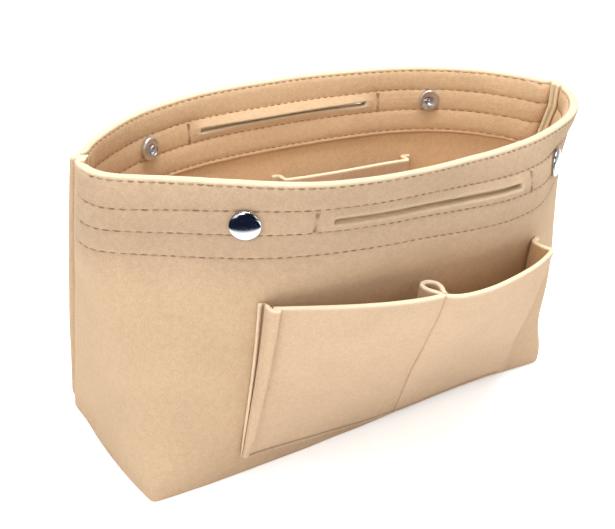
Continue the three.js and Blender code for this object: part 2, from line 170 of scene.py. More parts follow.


# sizes in mm; painted light: the outside is a little greyer than the inside, and the inside warmer as if lit
# by light bounced inside the bag; the outside of a wall is also greyer over its upper band
feltGrain = {"fibre": 0.55, "fleck": 3.2, "drift": 32, "greyingAndCreaseShade": "#f0f1f4", "outer": "#e5e4e2"}
panelTones = {
    **{"dark": "#cdac8b", "base": "#ddbd9b", "pale": "#ebd3b5"},
    **{"cut": "#f4e4c4", "inner": "#fffaee", "sheen": 0.3},
}
# painted light: the facing bands inside the bag are a brighter, warmer copy of the wall felt, standing in
# for the light inside the bag
litFacingTones = {
    **{"dark": "#dfbb92", "base": "#efcba2", "pale": "#f7dfba"},
    **{"cut": "#f4e3c6", "inner": "#fffae4", "sheen": 0.25},
}
pocketTones = {
    **{"dark": "#ccac8c", "base": "#dbbd9e", "pale": "#e9d3b7"},
    **{"cut": "#f5e5ca", "inner": "#fff6e2", "sheen": 0.3},
}
# the crease tint is painted shade, dark along the pockets' bottom seams and where their side strips turn out
# of the wall; outer and inner are painted light as for the walls
pocketGrain = {"fibre": 0.5, "fleck": 2.8, "drift": 26, "greyingAndCreaseShade": "#b49a88", "outer": "#efeeec"}
panelFelt = needleFelt("needlePunchedFelt", {**feltGrain, **panelTones})
litFacingFelt = needleFelt("needlePunchedFeltFacingLit", {**feltGrain, **litFacingTones})
pocketFelt = needleFelt("needlePunchedFeltPockets", {**pocketGrain, **pocketTones})


# Spun polyester sewing thread: a slightly lustrous twist. Real plies turn once every
# 0.5 mm, drawn here at 0.9 mm so that the turns show.
def spunThread(name, code, shade):
    material, tree, place = newMaterial(name)
    twist = {"Scale": 1 / (0.9 * mm) / 6.28, "Distortion": 1.5, "bands_direction": "DIAGONAL"}
    turns = addNode(tree, "TexWave", twist, {"Vector": (place, "Object")})
    tone = addNode(tree, "ValToRGB", {}, {"Fac": (turns, "Fac")})
    rampStops(tone, [(0.1, shade), (0.8, code)])
    bump = addNode(tree, "Bump", {"Strength": 0.4, "Distance": 0.1 * mm}, {"Height": (turns, "Fac")})
    links = {"Base Color": (tone, "Color"), "Normal": (bump, "Normal")}
    thread = addNode(tree, "BsdfPrincipled", {"Roughness": 0.6, "Sheen Weight": 0.2}, links)
    addNode(tree, "OutputMaterial", {}, {"Surface": (thread, "BSDF")})
    return material


brownThread = spunThread("spunPolyesterThreadBrown", "#a58060", "#866345")
tanThread = spunThread("spunPolyesterThreadTan", "#bd9066", "#a0744d")


# Nickel-plated brass: bright, cool and mirror-like, with hair-fine polishing marks that
# soften the reflections a little. The marks are 0.05 mm apart, drawn at 0.3 mm.
def platedMetal(name, code, roughness):
    material, tree, place = newMaterial(name)
    grain = {"Scale": 1 / (0.3 * mm), "Detail": 2.0}
    marks = addNode(tree, "TexNoise", grain, {"Vector": (place, "Object")})
    reach = {"From Min": 0.3, "From Max": 0.7, "To Min": roughness * 0.8, "To Max": roughness * 1.3}
    soft = addNode(tree, "MapRange", reach, {"Value": (marks, "Fac")})
    tone = addNode(tree, "ValToRGB", {}, {"Fac": (marks, "Fac")})
    rampStops(tone, [(0.2, "#b9bcc2"), (0.8, code)])
    links = {"Base Color": (tone, "Color"), "Roughness": (soft, "Result")}
    metal = addNode(tree, "BsdfPrincipled", {"Metallic": 1.0}, links)
    addNode(tree, "OutputMaterial", {}, {"Surface": (metal, "BSDF")})
    return material


platedNickel = platedMetal("nickelPlatedBrass", "#dfe2e6", 0.12)
satinNickel = platedMetal("nickelPlatedBrassSatin", "#f0ece6", 0.38)
springSteel = platedMetal("drawnSpringSteel", "#a0a3a8", 0.3)
print("materials made")


# the shell: the same named sizes as the part, but for the last lines on the fold at a side
# seam, which is tighter and shorter here, and on the ends of the facing band
shell = {
    "baseLength": 270,
    "baseDepth": 101,
    "height": 175.5,
    "mouthLength": 294,
    "mouthFront": 99,
    "mouthRear": 60,
    "seamAtRim": -9,
    "endFullness": 2.2,
    "rimFlare": 2.5,
    "footFlare": 1.5,
    "footBow": 4,
    "rimPower": 2,
    "lowerPower": 8,
    "lowerFade": 2.1,
    "footPower": 80,
    "footFade": 23,
    "rearPower": 2.6,
    "rearBowRise": 1.2,
    "felt": 2.5,
    "layerGap": 0.3,
    "seamFold": 2.2,
    "seamAllowance": 2.8,  # past the fold at a side seam
    "facingDepth": 41,
    "facingInset": 3.0,  # from the fold to the end of the facing band
}
height = shell["height"]
felt = shell["felt"]
layerGap = shell["layerGap"]


def lerp(a, b, s):
    return a + (b - a) * s


def halfLength(t):
    straight = lerp(shell["baseLength"] / 2, shell["mouthLength"] / 2, t**1.5)
    return straight + shell["endFullness"] * 4 * t * (1 - t)


def seamY(t):
    return lerp(shell["baseDepth"] / 2, shell["seamAtRim"], t)


def frontDepth(t):
    return lerp(shell["baseDepth"], shell["mouthFront"] + shell["seamAtRim"], t)


def rearBow(t):
    return (shell["mouthRear"] - shell["seamAtRim"]) * t ** shell["rearBowRise"]


def planPower(t):
    lower = shell["lowerPower"] * (1 - t) ** shell["lowerFade"]
    return shell["rimPower"] + lower + shell["footPower"] * (1 - t) ** shell["footFade"]


def seamFlare(t):
    return lerp(shell["footFlare"], shell["rimFlare"], t)


def endBow(t):
    return shell["footBow"] * (1 - t) ** 2


def endSwell(q, t):
    return seamFlare(t) * (1 - q) ** 3 + endBow(t) * 4 * q * (1 - q)


def seamHalf(t):
    return halfLength(t) + seamFlare(t)


def frontPoint(turn, t):
    n = planPower(t)
    c, s = np.cos(turn), np.sin(turn)
    reach = (np.abs(c) ** n + s**n) ** (-1 / n)
    q = s * reach
    return np.stack([-(halfLength(t) + endSwell(q, t)) * c * reach, seamY(t) - frontDepth(t) * q], -1)


def rearPoint(share, t):
    bow = rearBow(t) * (1 - np.abs(share) ** shell["rearPower"])
    return np.stack([share * seamHalf(t), seamY(t) + bow], -1)


def frontWallY(x, z):
    t = np.maximum(z, 0) / height
    n = planPower(t)
    q = 1.0
    for _ in range(6):
        share = np.minimum(1, np.abs(x) / (halfLength(t) + endSwell(q, t)))
        q = (1 - share**n) ** (1 / n)
    return seamY(t) - frontDepth(t) * q


def rearWallY(x, z):
    t = z / height
    share = np.minimum(1, np.abs(x) / seamHalf(t))
    return seamY(t) + rearBow(t) * (1 - share ** shell["rearPower"])


def outerSurface(x, z, off=0.0):
    slope = frontWallY(x + 0.5, z) - frontWallY(x - 0.5, z)
    return frontWallY(x, z) - off * np.hypot(1, slope)


def innerSurface(x, z, off=0.0):
    slope = rearWallY(x + 0.5, z) - rearWallY(x - 0.5, z)
    return rearWallY(x, z) - (felt + off) * np.hypot(1, slope)


def unit(v):
    return v / np.linalg.norm(v, axis=-1, keepdims=True)


# A path moved to the left of its own direction
def shifted(path, distance):
    along = unit(path[1:] - path[:-1])
    before = np.vstack([along[:1], along])
    after = np.vstack([along, along[-1:]])
    both = before + after
    reach = 2 * distance / (both**2).sum(1)
    return path + np.stack([-both[:, 1] * reach, both[:, 0] * reach], -1)


def wholePath(left):
    mirror = left[::-1][1:] * [-1, 1]
    return np.vstack([left, mirror])


# At the left seam: its corner, the ways along the rear wall and inward, and half the angle
# between the two walls
def seamFrame(t):
    t = np.asarray(t, float)
    alongFront = unit(np.stack([3 * seamFlare(t) - 4 * endBow(t), -frontDepth(t)], -1))
    alongRear = unit(np.stack([np.ones_like(t), shell["rearPower"] * rearBow(t) / seamHalf(t)], -1))
    inward = unit(alongFront + alongRear)
    halfAngle = np.arccos((alongFront * inward).sum(-1))
    return np.stack([-seamHalf(t), seamY(t)], -1), alongRear, inward, halfAngle


def foldStart(t):
    return shell["seamFold"] / math.tan(seamFrame(t)[3] / 2)


def cubic(a, b, c, d, count):
    q = np.linspace(0, 1, count)[:, None]
    return (1 - q) ** 3 * a + 3 * (1 - q) ** 2 * q * b + 3 * (1 - q) * q**2 * c + q**3 * d


# Turned-in edge of a panel at the left seam: from its free end inside to the wall
def turnedEdge(t, side, wallStart, wallNext):
    corner, _, inward, _ = seamFrame(t)
    across = np.array([-inward[1], inward[0]]) * side * (felt + layerGap) / 2

    def inFold(depth):
        return corner + inward * depth + across

    bend = foldStart(t)
    handle = 0.8 * shell["seamFold"]
    leaving = unit(wallStart - wallNext)
    fold = cubic(inFold(bend), inFold(bend - handle), wallStart + leaving * handle, wallStart, 11)
    free = [inFold(bend + shell["seamAllowance"] * d) for d in (1, 0.92, 0.76, 0.56, 0.37, 0.18)]
    return np.vstack([free, fold])


def arcLengths(points):
    return np.r_[0, np.cumsum(np.linalg.norm(np.diff(points, axis=0), axis=1))]


# The points that a band leaves out beside the seam are drawn together at its start
def insetStart(path, inset):
    if not inset:
        return path
    length = arcLengths(path)
    target = inset + length * (1 - inset / length[-1])
    return np.stack([np.interp(target, length, path[:, k]) for k in (0, 1)], -1)


def frontHalf(t, inset, shares):
    first = math.asin(foldStart(t) / frontDepth(t))
    turn = lerp(first, math.pi / 2, shares + 0.09 * np.sin(2 * math.pi * shares))
    return insetStart(frontPoint(turn, t), inset)


def rearHalf(t, inset, shares):
    first = foldStart(t) * seamFrame(t)[1][0] / seamHalf(t) - 1
    return insetStart(rearPoint(lerp(first, 0, shares), t), inset)


# How the sewn felt has settled, in mm at places of the even form. Slow waves in the walls
# grow with height, the right of the foot is drawn back under the wall, the side seams stand
# out at the foot, the right one is pulled to the front, and the rear rim is up.
settling = {
    "waves": 0.55,
    "dents": [((-112, -30, 62), (16, 16, 9), 0.9)],  # centre, size and depth
    # x, and how far the foot of the front wall is drawn back there
    "footBack": (
        (-133, -104, -74, -42, -25, -8, 10, 29, 48, 68, 89, 110, 132),
        (-1.5, -2.1, -1.5, -0.9, 0.2, 0.6, 1.6, 2.7, 3.8, 4.6, 5.0, 3.8, 2.8),
    ),
    "footFade": 62,
    "seamOut": {-1: (3.8, -0.6, -3.0), 1: (1.0, 0.3, 0.0)},  # at the foot, half way and the rim
    "seamWidth": 15.0,
    "rearUp": 0.8,
    "lowRow": 1.8,  # the rows dip near the left corner
    "rightIn": 7.0,  # the upper right of the front wall goes left
    "rearRightOut": 3.2,  # and that of the rear wall right
    # how far the right seam is pulled to the front at these heights, and over what width
    "seamAhead": ((0, 50, 100, 137, 162, 175.5), (0, 3, 12, 17, 15, 9.5)),
    "aheadWidth": 38.0,
    # the felt just above the rear slit hangs forwards and down, most at its middle
    "rearLip": {"forwards": 2.2, "down": 1.5, "half": 57, "height": 157, "spread": 4.5},
    # how far the front wall stands out of the even plan, at degrees from the left seam
    "frontAt": (
        *(0, 4, 8, 11, 14, 17, 20, 24, 30, 38, 48, 57),
        *(65, 75, 87, 99, 111, 120, 130, 140, 150, 165, 180),
    ),
    "front": {
        175.5: (
            *(5.6, 5.4, 4.5, 3.4, 1.9, 0.2, -1.7, -4.2, -6.9, -7.8, -5.9, -1.9),
            *(1.3, 1.4, -1.1, -3.9, -3, 0.2, 2.3, 3.2, 2.3, 0.2, -0.2),
        ),
        162: (
            *(3.9, 6.1, 7.8, 8.5, 8.6, 7.7, 6.1, 3.5, 0.2, -1.7, -1.9, 0.2),
            *(1.7, 1, -1.2, -0.1, 5, 7.5, 4.3, 2.3, 0.1, -1, -0.2),
        ),
        149.5: (
            *(3.2, 6.3, 8.8, 10, 10.2, 9.4, 7.8, 5, 1.3, -1.5, -1.7, 0.2),
            *(1.1, 0.9, 0.7, 4, 9.7, 11.4, 6.6, 2.1, -0.6, -1.5, -0.2),
        ),
        137: (
            *(2.9, 6, 8.6, 9.8, 10.2, 9.6, 8, 5, 0.7, -2.7, -2.9, -1.1),
            *(0.2, 1, 2.8, 6.9, 11.4, 11.3, 6, 1.8, -0.3, -1.4, -0.2),
        ),
        100: (
            *(1.2, 2.4, 3.4, 3.9, 4.1, 4, 3.7, 3, 1.4, -0.5, -1.8, -1.7),
            *(-0.7, 1.3, 4.1, 6.1, 6.2, 4.7, 2.1, 0.3, -0.1, -0.2, 0),
        ),
        50: (
            *(0.2, 0.5, 0.6, 0.6, 0.6, 0.6, 0.6, 0.6, 0.6, 0.6, 0.5, 0.4),
            *(0.4, 0.3, 0.2, 0.1, 0, 0.2, 0.4, 0.6, 1.8, 1.8, 0.4),
        ),
        0: (
            *(0.5, 1, 1.1, 1.1, 1.2, 1.2, 1.2, 1.2, 1.3, 1.3, 1.4, 1.5),
            *(1.4, 1.2, 0.9, 0.4, 0, 0.2, 0.3, 0.5, 1.6, 1.8, 0.5),
        ),
    },
    # and the rear wall, at shares of the half length
    "rearSlope": 1.1,
    "rearAt": (-1, -0.95, -0.81, -0.6, -0.35, -0.12, 0.11, 0.33, 0.55, 0.67, 0.83, 0.92, 1),
    "rear": {
        175.5: (0, 3, 2, 3.4, 2.2, 1.2, 1.8, 2.4, 5.8, 7.2, 9, 6.5, 0),
        120: (0, 1, 1, 1, 0.4, 0.3, 0.9, 1.2, 3.4, 4.4, 5, 3, 0),
        40: (0,) * 13,
        0: (0,) * 13,
    },
}


levelStep = 3.0


# A table above as a smooth function of the place along the wall and the height
def smoothTable(places, table, step, spread):
    fine = np.arange(places[0], places[-1] + step / 2, step)
    heights = np.arange(0, height + levelStep, levelStep)
    levels = sorted(table)
    coarse = np.array([np.interp(fine, places, table[z]) for z in levels])
    grid = np.array([np.interp(heights, levels, column) for column in coarse.T]).T
    for axis, width in ((0, 1.4), (1, spread / step)):
        reach = np.arange(-int(3 * width) - 1, int(3 * width) + 2)
        kernel = np.exp(-0.5 * (reach / width) ** 2)
        kernel /= kernel.sum()
        pad = [(0, 0), (0, 0)]
        pad[axis] = (len(reach) // 2,) * 2
        padded = np.pad(grid, pad, mode="edge")
        grid = np.apply_along_axis(lambda line: np.convolve(line, kernel, "valid"), axis, padded)

    def look(place, z):
        i = np.clip((place - fine[0]) / step, 0, len(fine) - 1.001)
        j = np.clip(z / levelStep, 0, len(heights) - 1.001)
        a, b = i.astype(int), j.astype(int)
        u, v = i - a, j - b
        low = grid[b, a] * (1 - u) + grid[b, a + 1] * u
        high = grid[b + 1, a] * (1 - u) + grid[b + 1, a + 1] * u
        return low * (1 - v) + high * v

    return look


frontOut = smoothTable(settling["frontAt"], settling["front"], 1.5, 2.0)
rearOut = smoothTable(settling["rearAt"], settling["rear"], 0.02, 0.05)


def easeStep(x):
    x = np.clip(x, 0, 1)
    return x * x * (3 - 2 * x)


def bell(x, width):
    return np.exp(-((x / width) ** 2))


def settle(points):
    points = np.asarray(points, float)
    x, y, z = points[..., 0], points[..., 1], points[..., 2]
    out = points.copy()
    grow = np.clip(z / 60, 0, 1) ** 1.3
    wave = 0.5 * np.sin(x / 29 + 1.3) * np.sin(z / 33 + 0.6) + 0.3 * np.sin(x / 15.5 + z / 41 + y / 50)
    wave += 0.25 * np.sin(x / 9.7 - z / 24 + 0.9)
    out[..., 1] += settling["waves"] * grow * wave
    end = np.sin(y / 17 + z / 29 + 0.4) * np.clip((np.abs(x) - 100) / 40, 0, 1)
    out[..., 0] += settling["waves"] * grow * end
    out[..., 2] += 0.35 * grow * np.clip((z - 120) / 55, 0, 1) * np.sin(x / 23 + y / 31)
    for centre, size, depth in settling["dents"]:
        far = sum(((v - c) / w) ** 2 for v, c, w in zip((x, y, z), centre, size))
        out[..., 1] += depth * np.exp(-far)
    # the front wall: drawn back at the foot, out of its even plan above, narrower at the right
    t = np.clip(z, 0, height) / height
    seam, half, front = seamY(t), halfLength(t), frontDepth(t)
    ahead = np.clip((seam - y) / front, 0, 1)
    nearFoot = np.clip(1 - z / settling["footFade"], 0, 1) ** 1.5
    out[..., 1] += np.interp(x, *settling["footBack"]) * ahead * nearFoot
    turn = np.arctan2((seam - y) / front, -x / half)
    angle = np.degrees(turn)
    wayOut = unit(np.stack([-np.cos(turn) / half, -np.sin(turn) / front], -1))
    onFront = easeStep((seam - y) / 3 + 0.5) * np.clip(ahead * 3, 0, 1) ** 0.5
    out[..., :2] += wayOut * (frontOut(np.clip(angle, 0, 180), z) * onFront)[..., None]
    out[..., 2] -= settling["lowRow"] * bell(z - 161, 9) * bell(angle - 18, 20) * onFront
    high = easeStep((z - 50) / 80)
    squeezed = easeStep((x + 20) / 100) * easeStep((148 - x) / 55) * high
    out[..., 0] -= settling["rightIn"] * squeezed * onFront
    # the rear wall, with the lip over its slit
    widened = easeStep((x - 20) / 70) * easeStep((149 - x) / 50) * high
    out[..., 0] += settling["rearRightOut"] * widened * (1 - onFront)
    share = np.clip(x / seamHalf(t), -1, 1)
    slope = -settling["rearSlope"] * np.sign(share) * np.abs(share) ** 1.6
    rearNormal = unit(np.stack([-slope, np.ones_like(slope)], -1))
    onRear = (1 - onFront) * np.clip((y - seam) / 8, 0, 1)
    out[..., :2] += rearNormal * (rearOut(share, z) * onRear)[..., None]
    lip = settling["rearLip"]
    hang = np.sqrt(np.clip(1 - (x / lip["half"]) ** 2, 0, 1)) * bell(z - lip["height"], lip["spread"])
    hang = hang * (z > height - band["slitBelow"]) * (y > seam + 20)
    out[..., 1] -= lip["forwards"] * hang
    out[..., 2] -= lip["down"] * hang
    out[..., 2] += settling["rearUp"] * np.clip((y - seam) / 60, 0, 1) * np.clip((z - 60) / 115, 0, 1)
    # both side seams
    leftCorner, _, leftInward, _ = seamFrame(t)
    for side, amounts in settling["seamOut"].items():
        distance = np.linalg.norm(points[..., :2] - leftCorner * [-side, 1], axis=-1)
        near = np.interp(t, (0, 0.5, 1), amounts) * bell(distance, settling["seamWidth"])
        out[..., :2] -= leftInward * [-side, 1] * near[..., None]
        if side > 0:
            pull = np.interp(z, *settling["seamAhead"])
            out[..., 1] -= pull * bell(distance, settling["aheadWidth"])
    return out


def makePiece(name, points, faces, material, attributes={}, smooth=True):
    mesh = bpy.data.meshes.new(name)
    mesh.from_pydata((np.asarray(points) * mm).tolist(), [], faces)
    mesh.update()
    for key, values in attributes.items():
        layer = mesh.attributes.new(key, "FLOAT", "POINT")
        layer.data.foreach_set("value", np.asarray(values, np.float32))
    mesh.shade_smooth() if smooth else mesh.shade_flat()
    piece = bpy.data.objects.new(name, mesh)
    bpy.context.scene.collection.objects.link(piece)
    mesh.materials.append(material)
    return piece


def gridNormals(middle, flip):
    along = np.gradient(middle, axis=1)
    up = np.gradient(middle, axis=0)
    return unit(np.cross(along, up)) * flip


# A closed sheet on a grid of points in its middle: rows upwards, columns along it.
# outside and inside are the distances to its two faces; cells in the hole are left out,
# and flip is -1 where the columns run the other way round.
def feltSheet(name, middle, outside, inside, cutEdge, material, flip=1, hole=None, greyingAndCreaseShade=None):
    rows, columns = shape = middle.shape[:2]
    normal = gridNormals(middle, flip)
    top = middle + normal * np.broadcast_to(outside, shape)[..., None]
    bottom = middle - normal * np.broadcast_to(inside, shape)[..., None]
    points = settle(np.vstack([top.reshape(-1, 3), bottom.reshape(-1, 3)]))
    count = rows * columns
    index = np.arange(count).reshape(shape)
    solid = np.ones((rows - 1, columns - 1), bool)
    if hole is not None:
        solid &= ~hole
    a, b, c, d = index[:-1, :-1], index[:-1, 1:], index[1:, 1:], index[1:, :-1]
    front = np.stack([a[solid], b[solid], c[solid], d[solid]], 1)
    faces = [front, front[:, ::-1] + count]
    padded = np.pad(solid, 1)
    for shift, (p, q) in (((-1, 0), (b, a)), ((1, 0), (d, c)), ((0, -1), (a, d)), ((0, 1), (c, b))):
        beyond = padded[1 + shift[0] : rows + shift[0], 1 + shift[1] : columns + shift[1]]
        open = solid & ~beyond
        faces.append(np.stack([p[open], q[open], q[open] + count, p[open] + count], 1))
    faces = np.vstack(faces)
    if flip < 0:
        faces = faces[:, ::-1]
    layers = {"cutEdge": np.tile(np.broadcast_to(cutEdge, shape).reshape(-1), 2)}
    if greyingAndCreaseShade is not None:
        layers["greyingAndCreaseShade"] = np.r_[np.broadcast_to(greyingAndCreaseShade, shape).reshape(-1), np.zeros(count)]
        layers["innerSide"] = np.r_[np.zeros(count), np.ones(count)]
    return makePiece(name, points, faces.tolist(), material, layers), top, normal


def roundOff(distance, radius):
    x = np.clip(distance / radius, 0, 1)
    return np.sqrt(1 - (1 - x) ** 2)


# stitch rows, slits and the relief of the band, which has lines where the relief changes
band = {
    "rows": (2.0, 13.5, 26.0, 38.5),  # below the rim
    "groove": 0.5,
    "puff": 0.4,
    "slitHalf": 55.75,
    "slitRadius": 1.5,
    "slitBelow": 20.0,
    "lip": 0.75,
}

rowLines = [r + o for r in band["rows"] for o in (-1.1, -0.5, 0, 0.5, 1.1)]
slitLines = [band["slitBelow"] + o for o in (-3.6, -2.5, -1.9, -1.5, 1.5, 1.9, 2.5, 3.6)]
rimLines = [0, 0.06, 0.22, 0.5]
betweenLines = [5.2, 7.7, 10.3, 29.3, 32.3, 35.2]
bandLines = sorted(set(rimLines + [v for v in rowLines if v > 0.6] + slitLines + betweenLines))
footLines = [height - v for v in (7, 4.8, 3.2, 2.0, 1.1, 0.5, 0.2)]
lowerLines = [41, 43.5, 46.5] + list(np.linspace(50.5, height - 10, 26)) + footLines
slitColumns = np.array([band["slitHalf"] + o for o in (-2.4, -1.5, -0.9, -0.4, 0, 0.5, 1.2)])


# Shares of the half path at which columns stand, some of them at the end of the slit
def columnShares(half, count):
    even = np.linspace(0, 1, count + 1)
    t = 1 - band["slitBelow"] / height
    fine = np.linspace(0, 1, 4001)
    xs = half(t, 0, fine)[:, 0]
    special = np.interp(-slitColumns[::-1], xs, fine)
    keep = np.array([s for s in even if np.abs(special - s).min() > 0.35 / count])
    return np.sort(np.r_[keep, special])


# front and rear: name, columns and the sense of the grid
walls = {
    -1: ("front", columnShares(frontHalf, 92), 1),
    1: ("rear", columnShares(rearHalf, 58), -1),
}

# Beside a side seam the felt is drawn in and rolls out on both sides of the groove
seamRoll = {-1: (0.8, 0.8, 0.6), 1: (5.8, 5.0, 3.6)}  # at the foot, half way and the rim
rollReach = {-1: 4.5, 1: 3.2}
turnedColumns = 16  # of a wall's grid, in each turned-in edge


def rollOut(path, t, side):
    corner, _, inward, _ = seamFrame(t)
    amount = np.interp(t, (0, 0.5, 1), seamRoll[side]) * easeStep((t * height + 4) / 16)
    ratio = np.linalg.norm(path - corner, axis=1) / rollReach[side]
    shape = (ratio * np.exp(1 - ratio)) ** 1.6
    outward = -inward
    if side < 0:
        along = unit(np.gradient(path, axis=0))
        outward = np.stack([along[:, 1], -along[:, 0]], -1)
    return path + outward * (amount * shape)[:, None]


# Cuts the slit in a grid and bends its edges round its ends; gives the distance from it
def slitPlan(grid, lines):
    radius, centre = band["slitRadius"], height - band["slitBelow"]
    straight = band["slitHalf"] - radius
    lower = int(np.argmin(np.abs(np.array(lines[::-1]) - band["slitBelow"] - radius)))
    x = np.abs(grid[lower, :, 0])
    inside = x < band["slitHalf"] + 0.05
    past = np.clip(x - straight, 0, radius)
    half = np.maximum(np.sqrt(np.maximum(radius**2 - past**2, 0)), 0.12)
    for row, sign in ((lower, -1), (lower + 1, 1)):
        grid[row, inside, 2] = centre + sign * half[inside]
    hole = np.zeros((grid.shape[0] - 1, grid.shape[1] - 1), bool)
    hole[lower] = inside[:-1] & inside[1:]
    away = np.hypot(np.maximum(np.abs(grid[..., 0]) - straight, 0), grid[..., 2] - centre)
    return hole, np.maximum(away - radius, 0)


# A wall or its facing as a grid of middle points, with the slit, the distances from it and
# from the rim, and the number of columns from the nearer end
def wallGrid(lines, side, facing):
    half, shares = (frontHalf if side < 0 else rearHalf), walls[side][1]
    grid = []
    for below in lines[::-1]:
        t = 1 - below / height
        if facing:
            outer = rollOut(half(t, shell["facingInset"], shares), t, side)
            path = wholePath(shifted(outer, -side * (1.5 * felt + layerGap)))
        else:
            middle = shifted(rollOut(half(t, 0, shares), t, side), -side * felt / 2)
            path = wholePath(np.vstack([turnedEdge(t, side, middle[0], middle[1])[:-1], middle]))
        grid.append(np.column_stack([path, np.full(len(path), t * height)]))
    grid = np.array(grid)
    hole, away = slitPlan(grid, lines)
    below = np.broadcast_to(np.array(lines[::-1])[:, None], grid.shape[:2])
    column = np.arange(grid.shape[1])
    return grid, hole, away, below, np.minimum(column, column[::-1])


# Height of a face above its sheet: down in the rows of stitches, up between them
def rowPress(below):
    press = sum(bell(below - r, 0.6) for r in band["rows"])
    swell = 0.0
    for a, b in zip(band["rows"][:-1], band["rows"][1:]):
        s = np.clip((below - a) / (b - a), 0, 1)
        swell = swell + np.sin(math.pi * s) ** 2
    return -band["groove"] * press + band["puff"] * swell


def slitLip(away):
    return band["lip"] * bell(away, 2.6) - 0.8 * (1 - roundOff(away, 1.0))


# from a sheet's middle to the face that meets the other layer, and to a face that is free
meeting = 0.5 * felt + 0.5 * layerGap - 0.01
halfFelt = 0.5 * felt


def buildWall(side):
    end, _, flip = walls[side]
    lines = bandLines + lowerLines
    grid, hole, away, below, fromEnd = wallGrid(lines, side, False)
    joined = np.clip((fromEnd - turnedColumns - 1) / 3, 0, 1)[None, :]
    rimFree = 0.3 + 0.7 * roundOff(below, 1.2)
    endRound = roundOff(np.array([0, 0.3, 0.9, 1.8])[np.minimum(fromEnd, 3)], 1.2)
    free = halfFelt * rimFree * (0.35 + 0.65 * endRound)[None, :]
    sewn = -meeting + (halfFelt + meeting) * roundOff(below, 2.3)
    outside = lerp(free, sewn, joined) + (rowPress(below) + slitLip(away)) * joined
    inside = np.where(below > shell["facingDepth"], halfFelt, lerp(free, meeting, joined))
    foot = 0.25 + 0.75 * roundOff(height - 0.2 - below, 2.0)
    outside = np.where(below > height / 2, outside * foot, outside)
    outside = np.maximum(outside, -inside + 0.02)
    cut = np.maximum(bell(below, 1.6), 0.4 * bell(away, 1.1))
    cut = np.maximum(cut, 0.7 * (fromEnd < 3)[None, :])
    # the outside is greyer over the upper band, fading out below it
    greyingAndCreaseShade = easeStep((58 - below) / 26) * joined * (1 - cut)
    name = end + "_wall_felt"
    piece, top, normal = feltSheet(name, grid, outside, inside, cut, panelFelt, flip, hole, greyingAndCreaseShade)
    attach(piece, "organizer")
    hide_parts(end + "_panel")
    return lines, top, normal


def buildFacing(side):
    end, _, flip = walls[side]
    lines = bandLines + [40.2, 40.6, 40.88, shell["facingDepth"]]
    grid, hole, away, below, fromEnd = wallGrid(lines, side, True)
    aboveFoot = shell["facingDepth"] - below
    foot = 0.35 + 0.65 * roundOff(aboveFoot, 1.1)
    sides = 0.4 + 0.6 * np.clip(fromEnd / 2, 0, 1)[None, :]
    free = -meeting + (halfFelt + meeting) * np.minimum(roundOff(below, 2.3), foot) * sides
    inside = np.maximum(free + rowPress(below) + slitLip(away), -meeting + 0.02)
    cut = np.maximum.reduce([bell(below, 1.6), 0.9 * bell(away, 1.3), bell(aboveFoot, 0.8)])
    name = end + "_facing_felt"
    piece, _, normal = feltSheet(name, grid, meeting, inside, cut, litFacingFelt, flip, hole)
    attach(piece, "organizer")
    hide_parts(end + "_facing_band")
    return lines, grid - normal * inside[..., None], -normal


# Base: flat felt on the ground, let in between the feet of the walls
base = {"in": 2.7, "up": 0.1, "halfLength": 130, "depth": 95}  # the last two for its round edge


def buildBase():
    u = np.sort(np.r_[np.linspace(-1, 1, 81), -0.998, -0.993, 0.993, 0.998])
    v = np.r_[0, 0.004, 0.012, np.linspace(0.03, 0.97, 24), 0.988, 0.996, 1]
    front, rear = seamY(0.0) - frontDepth(0.0) + base["in"], seamY(0.0) - base["in"]
    widen = 1 + endSwell(0.5, 0.0) * 4 * v * (1 - v) / halfLength(0.0)
    middle = np.zeros((len(v), len(u), 3))
    middle[..., 0] = u[None, :] * (halfLength(0.0) - base["in"]) * widen[:, None]
    middle[..., 1] = lerp(front, rear, v)[:, None]
    middle[..., 2] = halfFelt + base["up"]
    ends, sides = (1 - np.abs(u)) * base["halfLength"], np.minimum(v, 1 - v) * base["depth"]
    edge = np.minimum(ends[None, :], sides[:, None])
    half = halfFelt * (0.35 + 0.65 * roundOff(edge, 1.2))
    piece, _, _ = feltSheet("base_felt", middle, half, half, bell(edge, 0.8), panelFelt)
    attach(piece, "organizer")
    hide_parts("base_panel")


frontWall, rearWall = buildWall(-1), buildWall(1)
frontFacing, rearFacing = buildFacing(-1), buildFacing(1)
buildBase()
print("walls, facing bands and base made")

# pockets
pocketSheet = 2.5
pocketRise = 104.0  # about the height of a pocket's face, for the spacing of its rows
seated = layerGap + pocketSheet / 2
outerTop = 113.5
footSeam = {"height": 14.0, "sink": 9.6, "from": -92, "over": 124}
pocketSeam = (14.0, -2.0)  # x of the seam between the two outer pockets at its foot and top


# The bottom seam of the outer pockets sinks from the left end to right of the middle
def outerFoot(x):
    return footSeam["height"] - footSeam["sink"] * easeStep((x - footSeam["from"]) / footSeam["over"])


def innerFoot(x):
    return 24.0 + 0 * x


# x of a face's left and right edge at the foot and the top, its depth off the wall at both,
# its further swell, where that leans (over 1 to the right) and which edges are folded back
outerPocket = {"carrier": outerSurface, "foot": outerFoot, "top": outerTop}
leftPocket = {
    **outerPocket,
    **{"from": (-85.1, -82.4), "to": (15.0, -2.15), "depths": (4.5, 20.5)},
    **{"swell": 2.2, "lean": 2.2, "folds": (False, False)},
}
rightPocket = {
    **outerPocket,
    **{"from": (15.3, -1.85), "to": (95.3, 82), "depths": (20.5, 13.5)},
    **{"swell": 6, "lean": 0.3, "folds": (False, True), "tuck": 1.2, "foldReach": 2.4},
}
innerPocket = {
    **{"carrier": innerSurface, "foot": innerFoot, "top": 120.0},
    **{"from": (-2, -2), "to": (77, 77), "depths": (8, 8)},
    **{"swell": 3, "lean": 1, "folds": (True, True), "foldShare": 0.2},
}


